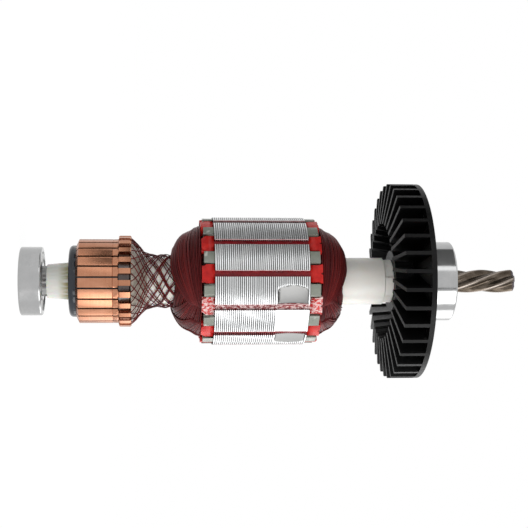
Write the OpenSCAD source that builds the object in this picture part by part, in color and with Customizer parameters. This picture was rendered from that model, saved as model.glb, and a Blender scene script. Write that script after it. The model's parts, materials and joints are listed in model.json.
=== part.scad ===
// Motor armature: commutator, wound core, cooling fan and helical pinion on one shaft,
// with a ball bearing pressed on each end. The shaft runs along +Z and the armature stands
// on the outer face of its rear bearing. The origin is the centre of that face.

/* [Shaft] */
// Diameter of the journal in the rear bearing
rear_journal_d = 8; // [7:0.5:9]
// Diameter of the shaft under the sleeve and the commutator
commutator_seat_d = 9.8; // [9.4:0.1:10.2]
// Diameter of the shaft under the insulating tube and the fan
fan_seat_d = 11; // [10.6:0.1:11.6]
// Diameter of the journal in the front bearing
front_journal_d = 10; // [9:0.5:10.5]
// Bare shaft between the rear bearing and the sleeve
shoulder_l = 1.4; // [1:0.1:3]
// Chamfer on the shaft's rear end
shaft_chamfer = 0.4; // [0.2:0.1:0.8]

/* [Pinion] */
// Number of teeth
pinion_teeth = 5; // [4:1:7]
// Diameter over the teeth
pinion_d = 7.6; // [7:0.1:8]
// Depth of the teeth
tooth_depth = 1.3; // [1:0.1:1.6]
// Length of the toothed end
pinion_l = 21.7; // [16:0.1:30]
// Length in which the left-hand helix makes one turn
pinion_lead = 52; // [40:1:80]
// Length of the rounded tip
pinion_tip_l = 0.9; // [0.5:0.1:1.5]

/* [Rear bearing] */
// Outer diameter
rear_bearing_d = 22; // [21:0.5:24]
// Width
rear_bearing_w = 7; // [6.6:0.1:8]
// Ball diameter
rear_ball_d = 3.97; // [3.6:0.01:4]

/* [Front bearing] */
// Outer diameter
front_bearing_d = 26; // [25:0.5:28]
// Width
front_bearing_w = 8; // [7.8:0.1:9]
// Ball diameter
front_ball_d = 4.76; // [4.4:0.01:4.8]

/* [Bearing details] */
// Balls in each bearing
ball_count = 7; // [5:1:8]
// Gap between a ball and its grooves
ball_play = 0.06; // [0.04:0.01:0.1]
// Gap between a ball and its pocket
pocket_play = 0.03; // [0.02:0.01:0.06]
// Radial thickness of the cage
cage_t = 1.2; // [1:0.1:1.4]
// Thickness of the cage behind the balls
cage_back = 0.45; // [0.35:0.05:0.5]
// Thickness of a shield
shield_t = 0.35; // [0.3:0.05:0.4]
// Depth of a shield below the bearing's face
shield_inset = 0.4; // [0.25:0.05:0.45]
// Gap between a shield and the inner ring
shield_play = 0.2; // [0.1:0.05:0.3]
// Crimp notches round each shield
shield_notches = 12; // [6:1:16]
// Chamfer on the rings' outer edges
ring_chamfer = 0.5; // [0.3:0.1:0.6]

/* [Commutator] */
// Length of the tapered sleeve behind the commutator
sleeve_l = 7.1; // [5:0.1:9]
// Diameter of the sleeve at the bearing
sleeve_small_d = 10.8; // [10.6:0.1:11]
// Diameter of the sleeve at the commutator
sleeve_large_d = 12.1; // [11.6:0.1:13]
// Number of copper bars
bar_count = 24; // [20:2:28]
// Diameter of the brush track
track_d = 27; // [26.4:0.1:27.6]
// Length of the brush track
track_l = 13.1; // [11:0.1:16]
// Radial thickness of the bars
bar_t = 3.1; // [2.6:0.1:3.4]
// Width of the slits between the bars
slit_w = 0.55; // [0.4:0.05:0.7]
// Depth of the slits below the track
slit_depth = 1; // [0.6:0.1:1.4]
// Axial length of the chamfer at the bars' rear end
bar_chamfer_l = 0.75; // [0.4:0.05:1]
// Radial depth of that chamfer
bar_chamfer_h = 1.5; // [0.8:0.1:1.8]
// Distance of the turned line from the hooks
line_offset = 1.6; // [1.2:0.1:2.4]
// Width of the dovetail foot that holds each bar
foot_w = 1.1; // [0.8:0.1:1.3]
// Radial depth of that foot
foot_h = 1.7; // [1.2:0.1:2]
// Diameter of the moulded hub's rear flange
hub_flange_d = 23; // [22:0.5:25]
// Thickness of that flange
hub_flange_l = 2.4; // [1.8:0.1:3]
// Corner radius of that flange
hub_corner_r = 1.3; // [0.6:0.1:1.6]
// Turn of the first bar from +X
commutator_turn = 2.2; // [-7.5:0.1:7.5]
// Length of the hub beyond the hooks
hub_tail_l = 1.8; // [1:0.1:3]
// Width of a hook
hook_w = 1.75; // [1.4:0.05:2]
// Length of a hook along the shaft
hook_l = 4.2; // [3.6:0.1:5]
// Height of a hook above the brush track
hook_h = 1.15; // [1:0.05:1.4]
// Thickness of a hook's metal
hook_t = 0.55; // [0.45:0.05:0.6]

/* [Leads] */
// Length from the hooks to the rear insulator
lead_span_l = 22.6; // [20:0.1:26]
// Diameter of a lead wire
lead_d = 0.5; // [0.4:0.05:0.55]
// Turn of a lead round the shaft on its way to the neck
lead_sweep = 52; // [40:1:60]
// Axial length of the leads' cone
lead_cone_l = 7.4; // [6:0.1:9]

/* [Core] */
// Diameter of the lamination stack
core_d = 41.4; // [40:0.2:43]
// Length of the lamination stack
core_l = 29.7; // [26:0.1:34]
// Width of a slot's mouth
slot_mouth_w = 2.1; // [1.6:0.1:2.6]
// Radial height of a slot's mouth
slot_mouth_h = 1.3; // [1:0.1:1.6]
// Radial depth of a slot below its mouth
slot_depth = 6.6; // [5.6:0.1:7.2]
// Width of a tooth between two slots
tooth_w = 4.1; // [3.6:0.1:4.6]
// Turn of the first slot from +X
slot_turn = -66.7; // [-90:0.1:0]
// Thickness of the fibre liner in a slot
liner_t = 0.3; // [0.2:0.05:0.4]
// Length of a liner beyond the core at each end
liner_out_l = 4; // [3.7:0.1:5]
// Thickness of an end insulator
insulator_l = 3.3; // [2.8:0.1:4]
// Radial step from the core to an insulator's leg
insulator_step = 0.4; // [0.2:0.1:0.8]
// Step from a tooth's side to the insulator's leg over it
leg_inset = 0.1; // [0.05:0.05:0.3]

/* [Balance cuts] */
// Radius of the milling cutter
cutter_r = 33; // [25:1:40]
// Length of the cut along the core
cut_l = 9.8; // [7:0.1:12]
// Depth of the cut
cut_depth = 0.85; // [0.5:0.05:1]
// Distance of the cut from the core's front end
cut_offset = 0.5; // [0.3:0.1:2]
// Turn of the first plunge from +X
cut_turn = -74; // [-180:1:180]
// Turn from the first plunge to the last
cut_sweep = 44; // [10:1:60]
// Radius of the cutter's crown across its edge
crown_r = 31; // [25:1:32]

/* [Winding] */
// Height of the rear winding head above the insulator
rear_head_l = 10.4; // [9:0.1:12]
// Height of the front winding head above the insulator
front_head_l = 10.2; // [9:0.1:12]
// Diameter of a coil bundle
bundle_d = 4.2; // [3.4:0.1:4.6]

/* [Insulating tube] */
// Outer diameter
tube_d = 15.3; // [14.8:0.1:15.6]
// Diameter of the reduced front end
tube_end_d = 14; // [13.4:0.1:14.4]
// Length of that reduced end
tube_end_l = 2.9; // [2:0.1:4]
// Width of the raised key on the reduced end
key_w = 6.2; // [4:0.1:8]

/* [Fan] */
// Distance from the core to the fan's blades
fan_gap = 26.2; // [24:0.1:30]
// Diameter over the blades
fan_d = 63.8; // [58:0.2:68]
// Number of blades
blade_count = 35; // [28:1:37]
// Thickness of a blade
blade_t = 1.15; // [0.9:0.05:1.3]
// Distance by which the blades' planes miss the axis
blade_offset = 4.4; // [3:0.1:6]
// Diameter of the eye, inside the blades' full height
eye_d = 38; // [35:0.5:41]
// Axial length from the blades' inner corners to the disc's back
fan_l = 11.2; // [9:0.1:13]
// Drop of the blades' edge from the eye to the rim
blade_drop = 1.7; // [0.6:0.1:2.2]
// Thickness of the disc
disc_t = 1.6; // [1.2:0.1:2.2]
// Diameter of the fan's hub
fan_hub_d = 20; // [18:0.5:22]
// Length of the boss between the disc and the front bearing
fan_boss_l = 3.4; // [2.6:0.1:5]

/* [Hidden] */
$fn = 96;
slot_count = bar_count / 2;
bars = [for (i = [1:bar_count]) str("commutator_bar_", i)];
liners = [for (i = [1:slot_count]) str("slot_liner_", i)];

// Stations along the shaft, counted from the rear bearing's outer face
z_sleeve = rear_bearing_w + shoulder_l;
z_hub = z_sleeve + sleeve_l;
z_bars = z_hub + hub_flange_l;
z_hooks = z_bars + track_l;
z_hook_end = z_hooks + hook_l;
z_tube = z_hook_end + hub_tail_l;
z_rear_insulator = z_hook_end + lead_span_l;
z_core = z_rear_insulator + insulator_l;
z_core_end = z_core + core_l;
z_front_end = z_core_end + insulator_l;
z_fan = z_core_end + fan_gap;
z_disc = z_fan + fan_l - disc_t;
z_fan_back = z_fan + fan_l;
z_front_bearing = z_fan_back + fan_boss_l;
z_pinion = z_front_bearing + front_bearing_w;

// Radii of the commutator
track_r = track_d / 2;
bar_root_r = track_r - bar_t;
bar_pitch = 360 / bar_count;
hook_r = track_r + hook_h;
hook_bend_r = 0.5;
foot_sink = 0.3;
rib_sink = 0.4;
track_line = 0.12;
lead_gap = 0.08;

// Radii of the core and its slots
core_r = core_d / 2;
slot_pitch = 360 / slot_count;
slot_top_r = core_r - slot_mouth_h;
slot_bottom_r = slot_top_r - slot_depth;
slot_top_w = 2 * slot_top_r * sin(slot_pitch / 2) - tooth_w;
slot_bottom_w = 2 * slot_bottom_r * sin(slot_pitch / 2) - tooth_w;
leg_r = core_r - insulator_step;
slot_gap = 0.02;
winding_gap = 0.1;
tab_gap = 0.04;
leg_w = tooth_w - 2 * leg_inset;
tab_r = slot_top_r - slot_gap - liner_t + 0.05;
tab_w = 2 * tab_r * sin(slot_pitch / 2 - asin((leg_w / 2 + tab_gap) / tab_r));

// The pinion's tooth form
pinion_r = pinion_d / 2;
pinion_root_r = pinion_r - tooth_depth;
pinion_turn = 45.5;
journal_overlap = 0.5;
tooth_form = [
    [-28, 0], [-22, 0.25], [-15, 0.62], [-8, 0.88], [0, 1],
    [8, 0.88], [15, 0.62], [22, 0.25], [28, 0], [36, -0.04]
];

tube_r = tube_d / 2;
tube_end_r = tube_end_d / 2;
key_turn = -75;
fan_turn = -87.5;
fan_r = fan_d / 2;
eye_r = eye_d / 2;

// A ring turned from a rectangle with chamfered corners on one side
module ring(inner_r, outer_r, w, inner_chamfer = 0, outer_chamfer = 0) {
    rotate_extrude()
        polygon([
            [inner_r + inner_chamfer, 0], [outer_r - outer_chamfer, 0],
            [outer_r, outer_chamfer], [outer_r, w - outer_chamfer],
            [outer_r - outer_chamfer, w], [inner_r + inner_chamfer, w],
            [inner_r, w - inner_chamfer], [inner_r, inner_chamfer]
        ]);
}

// ---- Ball bearings: bore, outer diameter, width and ball of one size ----

function pitch_r(bore, od) = (bore + od) / 4;
function land(bore, od, ball) = pitch_r(bore, od) - 0.365 * ball;
function outer_land(bore, od, ball) = pitch_r(bore, od) + 0.365 * ball;
function shield_r(bore, od, ball) = outer_land(bore, od, ball) + 0.6;

module groove(bore, od, w, ball) {
    rotate_extrude()
        translate([pitch_r(bore, od), w / 2])
            circle(r = ball / 2 + ball_play);
}

module inner_ring(bore, od, w, ball) {
    color("gainsboro")
        difference() {
            ring(bore / 2, land(bore, od, ball), w, ring_chamfer * 0.6, 0);
            groove(bore, od, w, ball);
        }
}

module outer_ring(bore, od, w, ball) {
    recess = shield_inset + shield_t;
    color("silver")
        difference() {
            ring(outer_land(bore, od, ball), od / 2, w, 0, ring_chamfer);
            groove(bore, od, w, ball);
            for (z = [-1, w - recess])
                translate([0, 0, z]) cylinder(r = shield_r(bore, od, ball), h = recess + 1);
        }
}

module balls(bore, od, w, ball) {
    color("lightgrey")
        for (i = [0:ball_count - 1])
            rotate(i * 360 / ball_count)
                translate([pitch_r(bore, od), 0, w / 2]) sphere(d = ball);
}

// A moulded crown cage, open towards the bearing's outside face
module cage(bore, od, w, ball) {
    mid_r = pitch_r(bore, od);
    back_z = w / 2 + ball / 2 + cage_back;
    front_z = w / 2 - ball / 4;
    color("burlywood")
        difference() {
            translate([0, 0, front_z])
                ring(mid_r - cage_t / 2, mid_r + cage_t / 2, back_z - front_z);
            for (i = [0:ball_count - 1])
                rotate(i * 360 / ball_count)
                    translate([mid_r, 0, w / 2]) sphere(r = ball / 2 + pocket_play);
        }
}

// A pressed shield, crimped into the outer ring at a row of notches
module shield(bore, od, ball) {
    r_out = shield_r(bore, od, ball);
    color("silver")
        difference() {
            ring(land(bore, od, ball) + shield_play, r_out, shield_t);
            for (i = [0:shield_notches - 1])
                rotate((i + 0.5) * 360 / shield_notches)
                    translate([r_out - 0.55, -0.3, -1]) cube([1, 0.6, shield_t + 2]);
        }
}

module rear_size(part) {
    d = rear_journal_d;
    if (part == "inner") inner_ring(d, rear_bearing_d, rear_bearing_w, rear_ball_d);
    if (part == "outer") outer_ring(d, rear_bearing_d, rear_bearing_w, rear_ball_d);
    if (part == "balls") balls(d, rear_bearing_d, rear_bearing_w, rear_ball_d);
    if (part == "cage") cage(d, rear_bearing_d, rear_bearing_w, rear_ball_d);
    if (part == "shield") shield(d, rear_bearing_d, rear_ball_d);
}

module front_size(part) {
    d = front_journal_d;
    if (part == "inner") inner_ring(d, front_bearing_d, front_bearing_w, front_ball_d);
    if (part == "outer") outer_ring(d, front_bearing_d, front_bearing_w, front_ball_d);
    if (part == "balls") balls(d, front_bearing_d, front_bearing_w, front_ball_d);
    if (part == "cage") cage(d, front_bearing_d, front_bearing_w, front_ball_d);
    if (part == "shield") shield(d, front_bearing_d, front_ball_d);
}

module rear_inner_ring() { rear_size("inner"); }
module rear_outer_ring() { rear_size("outer"); }
module rear_balls() { rear_size("balls"); }
module rear_cage() { rear_size("cage"); }
module rear_outside_shield() { translate([0, 0, shield_inset]) rear_size("shield"); }
module rear_inside_shield() {
    translate([0, 0, rear_bearing_w - shield_inset - shield_t]) rear_size("shield");
}

module at_front() { translate([0, 0, z_front_bearing]) children(); }
module front_inner_ring() { at_front() front_size("inner"); }
module front_outer_ring() { at_front() front_size("outer"); }
module front_balls() { at_front() front_size("balls"); }
module front_cage() { at_front() front_size("cage"); }
module front_inside_shield() { at_front() translate([0, 0, shield_inset]) front_size("shield"); }
module front_outside_shield() {
    at_front() translate([0, 0, front_bearing_w - shield_inset - shield_t]) front_size("shield");
}

// ---- Shaft, with the pinion cut on its end ----

module pinion_section() {
    polygon([
        for (i = [0:pinion_teeth - 1])
            for (p = tooth_form)
                let (
                    a = (i + p[0] / 72) * 360 / pinion_teeth,
                    r = pinion_root_r + p[1] * tooth_depth
                ) r * [cos(a), sin(a)]
    ]);
}

// The teeth are cut on a blank whose tip is rounded off
module pinion() {
    blank_l = pinion_l + journal_overlap;
    intersection() {
        linear_extrude(blank_l, twist = 360 * blank_l / pinion_lead, slices = 28, $fn = 0) pinion_section();
        rotate_extrude()
            polygon([
                [0, -1], [front_journal_d / 2, -1], [pinion_r + 0.1, journal_overlap],
                [pinion_r + 0.1, blank_l - pinion_tip_l], [pinion_r - 0.25, blank_l - pinion_tip_l / 3],
                [pinion_r - 0.8, blank_l], [0, blank_l]
            ]);
    }
}

module shaft() {
    rear_r = rear_journal_d / 2;
    front_r = front_journal_d / 2;
    color("dimgrey") {
        rotate_extrude()
            polygon([
                [0, 0], [rear_r - shaft_chamfer, 0], [rear_r, shaft_chamfer],
                [rear_r, rear_bearing_w], [commutator_seat_d / 2, rear_bearing_w],
                [commutator_seat_d / 2, z_tube], [fan_seat_d / 2, z_tube],
                [fan_seat_d / 2, z_front_bearing], [front_r, z_front_bearing],
                [front_r, z_pinion], [0, z_pinion]
            ]);
        translate([0, 0, z_pinion - journal_overlap]) rotate(pinion_turn) pinion();
    }
}

module rear_sleeve() {
    color("ivory")
        translate([0, 0, z_sleeve])
            difference() {
                cylinder(d1 = sleeve_small_d, d2 = sleeve_large_d, h = sleeve_l);
                translate([0, 0, -1]) cylinder(d = commutator_seat_d, h = sleeve_l + 2);
            }
}

// ---- Commutator ----

// The foot below each bar: a dovetail that widens towards the shaft
module bar_foot() {
    mid_z = z_bars + track_l / 2;
    neck = track_l * 0.3;
    translate([0, foot_w / 2, 0])
        rotate([90, 0, 0])
            linear_extrude(foot_w)
                polygon([
                    [bar_root_r + foot_sink, mid_z - neck], [bar_root_r + foot_sink, mid_z + neck],
                    [bar_root_r - foot_h, mid_z + neck + 1], [bar_root_r - foot_h, mid_z - neck - 1]
                ]);
}

module commutator_hub() {
    corner = [hub_flange_d / 2 - hub_corner_r, z_hub + hub_corner_r];
    rib_r = track_r - slit_depth;
    color("darkslategrey")
        difference() {
            union() {
                rotate_extrude()
                    polygon(concat(
                        [[commutator_seat_d / 2, z_hub]],
                        [for (a = [-90:10:0]) corner + hub_corner_r * [cos(a), sin(a)]],
                        [[hub_flange_d / 2, z_bars], [bar_root_r, z_bars],
                         [bar_root_r, z_tube], [commutator_seat_d / 2, z_tube]]
                    ));
                for (i = [0:bar_count - 1])
                    rotate(commutator_turn + (i + 0.5) * bar_pitch)
                        translate([0, slit_w / 2, 0])
                            rotate([90, 0, 0])
                                linear_extrude(slit_w)
                                    polygon([
                                        [bar_root_r - 0.5, z_bars - rib_sink],
                                        [hub_flange_d / 2 - 0.5, z_bars - rib_sink],
                                        [rib_r, z_bars + rib_sink],
                                        [rib_r, z_hooks], [bar_root_r - 0.5, z_hooks]
                                    ]);
            }
            for (i = [0:bar_count - 1]) rotate(commutator_turn + i * bar_pitch) bar_foot();
        }
}

// One copper bar: a wedge of the turned ring, its foot, and the hook bent over the leads
module commutator_bar(i) {
    half = bar_pitch / 2;
    apex = slit_w / 2 / sin(half);
    far = track_r + 2;
    line_z = z_hooks - line_offset;
    top = hook_r - track_r;
    color("peru")
        rotate(commutator_turn + (i - 1) * bar_pitch) {
            intersection() {
                rotate_extrude()
                    polygon([
                        [bar_root_r, z_bars], [track_r - bar_chamfer_h, z_bars],
                        [track_r, z_bars + bar_chamfer_l], [track_r, line_z - track_line],
                        [track_r - track_line, line_z], [track_r, line_z + track_line],
                        [track_r, z_hooks], [bar_root_r, z_hooks]
                    ]);
                translate([apex, 0, 0])
                    linear_extrude(z_hooks)
                        polygon([[0, 0], far * [cos(half), -sin(half)], far * [cos(half), sin(half)]]);
            }
            bar_foot();
            translate([0, hook_w / 2, z_hooks])
                rotate([90, 0, 0])
                    linear_extrude(hook_w)
                        difference() {
                            union() {
                                translate([bar_root_r + 0.2, -0.2]) square([bar_t - 0.2, hook_l + 0.2]);
                                translate([track_r - 0.2, 0.2]) square([top + 0.2 - hook_bend_r, hook_l - 0.2]);
                                translate([track_r, 0.2 + hook_bend_r])
                                    square([top, hook_l - 0.2 - 2 * hook_bend_r]);
                                for (z = [0.2 + hook_bend_r, hook_l - hook_bend_r])
                                    translate([hook_r - hook_bend_r, z]) circle(r = hook_bend_r, $fn = 32);
                            }
                            translate([hook_r - hook_t - lead_d, 0.7])
                                square([lead_d, hook_l - 0.7 - hook_t]);
                        }
        }
}

// ---- Leads: two wires from each hook, crossing on a cone down to the shaft's neck ----

// A stretch of wire from a to b, run on a little so that it joins the next stretch
module rod(a, b, d) {
    v = b - a;
    translate(a)
        rotate([0, acos(v[2] / norm(v)), atan2(v[1], v[0])]) cylinder(d = d, h = norm(v) + d / 4, $fn = 8);
}

function polar(r, a, z) = [r * cos(a), r * sin(a), z];

module lead_wires() {
    start_z = z_hook_end + 0.4;
    start_r = track_r - 2 * lead_d;
    neck_z = z_hook_end + lead_cone_l;
    end_z = z_rear_insulator - rear_head_l - lead_d;
    color("maroon")
        for (i = [0:bar_count - 1], layer = [0, 1]) {
            side = 2 * layer - 1;
            a = commutator_turn + (i + side * 0.2) * bar_pitch;
            b = a + side * lead_sweep;
            neck_r = tube_r + lead_d / 2 + lead_gap + layer * (lead_d + lead_gap);
            rod(polar(start_r + layer * lead_d * 2, a, start_z), polar(neck_r, b, neck_z), lead_d);
            rod(polar(neck_r, b, neck_z), polar(neck_r, b + side * 10, end_z), lead_d);
        }
}

// ---- Core, insulators and slot liners ----

// A slot's outline, grown outwards by grow, with a mouth that opens at the rim
module slot_outline(grow = 0, facets = 32) {
    round_r = slot_bottom_w / 2 + grow;
    polygon([
        [slot_bottom_r, -round_r], [slot_top_r - 0.8, -slot_top_w / 2 - grow],
        [slot_top_r + grow, -slot_top_w / 2 - grow + 0.9], [slot_top_r + grow, slot_top_w / 2 + grow - 0.9],
        [slot_top_r - 0.8, slot_top_w / 2 + grow], [slot_bottom_r, round_r]
    ]);
    translate([slot_bottom_r, 0]) circle(r = round_r, $fn = facets);
}

module at_slots() {
    for (i = [0:slot_count - 1]) rotate(slot_turn + i * slot_pitch) children();
}

// The path of a crowned disc cutter, plunged side by side round the core
module balance_cut() {
    plunges = 6;
    for (i = [0:plunges])
        rotate(cut_turn + i * cut_sweep / plunges)
            translate([core_r - cut_depth + cutter_r, 0, z_core_end - cut_offset - cut_l / 2])
                rotate_extrude()
                    intersection() {
                        translate([0, -cut_l / 2]) square([cutter_r, cut_l]);
                        translate([cutter_r - crown_r, 0]) circle(r = crown_r);
                    }
}

module core_stack() {
    color("lightsteelblue")
        difference() {
            translate([0, 0, z_core])
                linear_extrude(core_l)
                    difference() {
                        circle(r = core_r, $fn = 180);
                        circle(r = tube_r);
                        at_slots() {
                            slot_outline();
                            translate([slot_top_r - 0.5, -slot_mouth_w / 2])
                                square([slot_mouth_h + 2, slot_mouth_w]);
                        }
                    }
            balance_cut();
        }
}

// A fibre end plate with a leg over every tooth
module insulator() {
    bed_r = slot_bottom_r - slot_bottom_w / 2 - slot_gap;
    color("darkseagreen")
        difference() {
            union() {
                cylinder(r = bed_r, h = insulator_l);
                for (i = [0:slot_count - 1])
                    rotate(slot_turn + (i + 0.5) * slot_pitch)
                        translate([tube_r + 0.5, -leg_w / 2, 0]) cube([leg_r, leg_w, insulator_l]);
            }
            translate([0, 0, -1]) cylinder(r = tube_r, h = insulator_l + 2);
            translate([0, 0, -1])
                difference() {
                    cylinder(r = core_r + 20, h = insulator_l + 2);
                    translate([0, 0, -1]) cylinder(r = leg_r, h = insulator_l + 4);
                }
        }
}

module rear_insulator() { translate([0, 0, z_rear_insulator]) insulator(); }
module front_insulator() { translate([0, 0, z_core_end]) insulator(); }

// The flared tab of a liner, as thick as room allows when grown
module tab_outline(grow = 0, facets = 96) {
    intersection() {
        difference() {
            circle(r = slot_top_r + 0.5 + grow, $fn = facets);
            circle(r = tab_r - grow, $fn = facets);
        }
        translate([0, -tab_w / 2 - grow]) square([core_r + grow, tab_w + 2 * grow]);
    }
}

// A folded liner: a sleeve through the slot, with a flared tab over the coil at each end
module slot_liner(i) {
    total_l = core_l + 2 * liner_out_l;
    color("firebrick")
        rotate(slot_turn + (i - 1) * slot_pitch) {
            translate([0, 0, z_core - liner_out_l])
                linear_extrude(total_l)
                    difference() {
                        slot_outline(-slot_gap);
                        slot_outline(-slot_gap - liner_t);
                    }
            for (z = [z_core - liner_out_l, z_core_end])
                translate([0, 0, z]) linear_extrude(liner_out_l) tab_outline();
        }
}

// ---- Winding: twelve coil bundles in each head, and the wires in the slots ----

// A bundle's path on the side of the head: an arch from slot to slot round the tube
function arch(t, head_l) =
    let (
        foot_r = slot_top_r - 3,
        crest_r = tube_r + bundle_d / 2 + 0.6,
        a = 2.4 * slot_pitch * t,
        s = cos(90 * t)
    ) polar(crest_r + (foot_r - crest_r) * (1 - s), a, (head_l - bundle_d / 2) * s);

module bundle(head_l) {
    steps = 3;
    for (k = [-steps:steps - 1])
        hull() {
            translate(arch(k / steps, head_l)) sphere(d = bundle_d, $fn = 6);
            translate(arch((k + 1) / steps, head_l)) sphere(d = bundle_d, $fn = 6);
        }
}

module winding_head(head_l) {
    bore_r = tube_r + 0.15;
    intersection() {
        difference() {
            union() {
                for (i = [0:slot_count - 1])
                    rotate(slot_turn + i * slot_pitch) bundle(head_l);
                cylinder(r1 = slot_top_r - 1.5, r2 = tube_r + 2, h = head_l * 0.78, $fn = 24);
            }
            translate([0, 0, -9]) cylinder(r = bore_r, h = head_l + 18, $fn = 24);
        }
        cylinder(r = core_r, h = head_l, $fn = 24);
    }
}

module winding() {
    wire_l = core_l + 2 * insulator_l;
    wall = slot_gap + liner_t + winding_gap;
    room_l = liner_out_l - insulator_l + winding_gap;
    color("maroon")
        difference() {
            union() {
                translate([0, 0, z_rear_insulator]) mirror([0, 0, 1]) winding_head(rear_head_l);
                translate([0, 0, z_front_end]) winding_head(front_head_l);
                at_slots()
                    translate([0, 0, z_rear_insulator - 1])
                        linear_extrude(wire_l + 2) slot_outline(-wall, 12);
            }
            for (z = [z_rear_insulator - room_l, z_front_end - 1])
                translate([0, 0, z])
                    linear_extrude(room_l + 1)
                        at_slots()
                            difference() {
                                union() {
                                    slot_outline(winding_gap, 12);
                                    tab_outline(winding_gap, 48);
                                }
                                slot_outline(-wall + 0.03, 12);
                            }
        }
}

// ---- Insulating tube and fan ----

module insulating_tube() {
    z_step = z_fan;
    color("cornsilk")
        difference() {
            union() {
                translate([0, 0, z_tube]) cylinder(r = tube_r, h = z_step - z_tube);
                translate([0, 0, z_step]) cylinder(r = tube_end_r, h = tube_end_l);
                intersection() {
                    translate([0, 0, z_step]) cylinder(r = (tube_r + tube_end_r) / 2, h = tube_end_l);
                    rotate(key_turn)
                        translate([0, -key_w / 2, z_step - 1]) cube([tube_r, key_w, tube_end_l + 1]);
                }
            }
            translate([0, 0, z_tube - 1]) cylinder(d = fan_seat_d, h = z_step);
        }
}

// One flat blade: full height outside the eye, and a low curved root towards the hub
module blade() {
    root_z = z_disc - 0.8;
    u0 = sqrt(pow(fan_hub_d / 2, 2) - pow(blade_offset, 2)) - 0.5;
    u_eye = sqrt(pow(eye_r, 2) - pow(blade_offset, 2));
    translate([0, blade_t / 2 - blade_offset, 0])
        rotate([90, 0, 0])
            linear_extrude(blade_t)
                polygon([
                    [u0, z_fan_back - disc_t / 2], [u0, root_z],
                    [u_eye - 3.5, root_z - 1.2], [u_eye - 1.2, root_z - 3.4], [u_eye, z_fan],
                    [fan_r + 1, z_fan + blade_drop * (fan_r + 1 - u_eye) / (fan_r - u_eye)],
                    [fan_r + 1, z_fan_back - disc_t / 2]
                ]);
}

module fan() {
    hub_z = z_fan + tube_end_l;
    color("black")
        difference() {
            union() {
                intersection() {
                    for (i = [0:blade_count - 1]) rotate(fan_turn + i * 360 / blade_count) blade();
                    translate([0, 0, z_fan - 1]) cylinder(r = fan_r, h = fan_l + 2);
                }
                translate([0, 0, z_disc]) cylinder(r = fan_r, h = disc_t);
                translate([0, 0, hub_z]) cylinder(d = fan_hub_d, h = z_fan_back - hub_z);
                translate([0, 0, z_fan_back])
                    cylinder(r = land(front_journal_d, front_bearing_d, front_ball_d) - 0.4, h = fan_boss_l);
            }
            translate([0, 0, z_fan]) cylinder(d = fan_seat_d, h = fan_l + fan_boss_l + 1);
        }
}

shaft();
rear_inner_ring();
rear_outer_ring();
rear_balls();
rear_cage();
rear_outside_shield();
rear_inside_shield();
front_inner_ring();
front_outer_ring();
front_balls();
front_cage();
front_outside_shield();
front_inside_shield();
rear_sleeve();
commutator_hub();
lead_wires();
core_stack();
rear_insulator();
front_insulator();
winding();
insulating_tube();
fan();
for (i = [1:bar_count])
    commutator_bar(i);
for (i = [1:slot_count])
    slot_liner(i);
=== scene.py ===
import json
import math
from types import SimpleNamespace

import bmesh
import bpy
from mathutils import Matrix, Vector


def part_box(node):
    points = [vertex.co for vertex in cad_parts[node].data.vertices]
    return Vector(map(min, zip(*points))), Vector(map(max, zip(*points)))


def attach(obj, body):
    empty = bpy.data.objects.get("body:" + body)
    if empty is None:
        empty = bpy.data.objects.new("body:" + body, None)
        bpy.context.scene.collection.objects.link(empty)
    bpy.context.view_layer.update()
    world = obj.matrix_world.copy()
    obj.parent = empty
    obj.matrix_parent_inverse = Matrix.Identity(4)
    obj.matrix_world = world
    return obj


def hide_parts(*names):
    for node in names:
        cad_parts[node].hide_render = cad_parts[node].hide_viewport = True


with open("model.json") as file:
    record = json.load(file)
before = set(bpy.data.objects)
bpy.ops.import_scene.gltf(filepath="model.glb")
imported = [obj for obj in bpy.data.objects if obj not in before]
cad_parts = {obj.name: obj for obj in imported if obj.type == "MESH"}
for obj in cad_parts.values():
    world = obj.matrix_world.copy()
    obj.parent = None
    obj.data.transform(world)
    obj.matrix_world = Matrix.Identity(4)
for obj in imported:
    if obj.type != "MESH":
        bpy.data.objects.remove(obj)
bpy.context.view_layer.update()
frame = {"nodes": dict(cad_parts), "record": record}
nodes = frame["nodes"]
scene = bpy.context.scene
mm = 0.001
print("frame loaded")


def footOf(name):
    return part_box(name)[0].z


def topOf(name):
    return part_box(name)[1].z


# stations along the shaft, and sizes that several pieces share
zHooks = topOf("commutator_bar_1")
zRear, zFront = footOf("rear_insulator"), topOf("front_insulator")
zCore, zCoreEnd = footOf("core_stack"), topOf("core_stack")
coreRadius = 20.7 * mm
toothCount = 12
sheetCount = 46
sheetPitch = (zCoreEnd - zCore) / sheetCount
firstSlot = math.radians(-66.7)
slotPitch = math.tau / toothCount

# camera: lies on its side, so that the shaft runs across the view
view = dict(lens=80.6, place=(0, -384.5 * mm, 40.9 * mm), turn=math.radians(5.54), shift=0.0324)
camera = bpy.data.objects.new("camera", bpy.data.cameras.new("camera"))
scene.collection.objects.link(camera)
camera.data.lens = view["lens"]
camera.data.sensor_width = 36
camera.data.shift_y = view["shift"]
camera.data.clip_start = 0.01
turnCos, turnSin = math.cos(view["turn"]), math.sin(view["turn"])
camera.matrix_world = Matrix((
    (0, -1, 0, view["place"][0]),
    (-turnSin, 0, -turnCos, view["place"][1]),
    (turnCos, 0, -turnSin, view["place"][2]),
    (0, 0, 0, 1),
))
scene.camera = camera


# nodes for materials and for geometry

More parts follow.
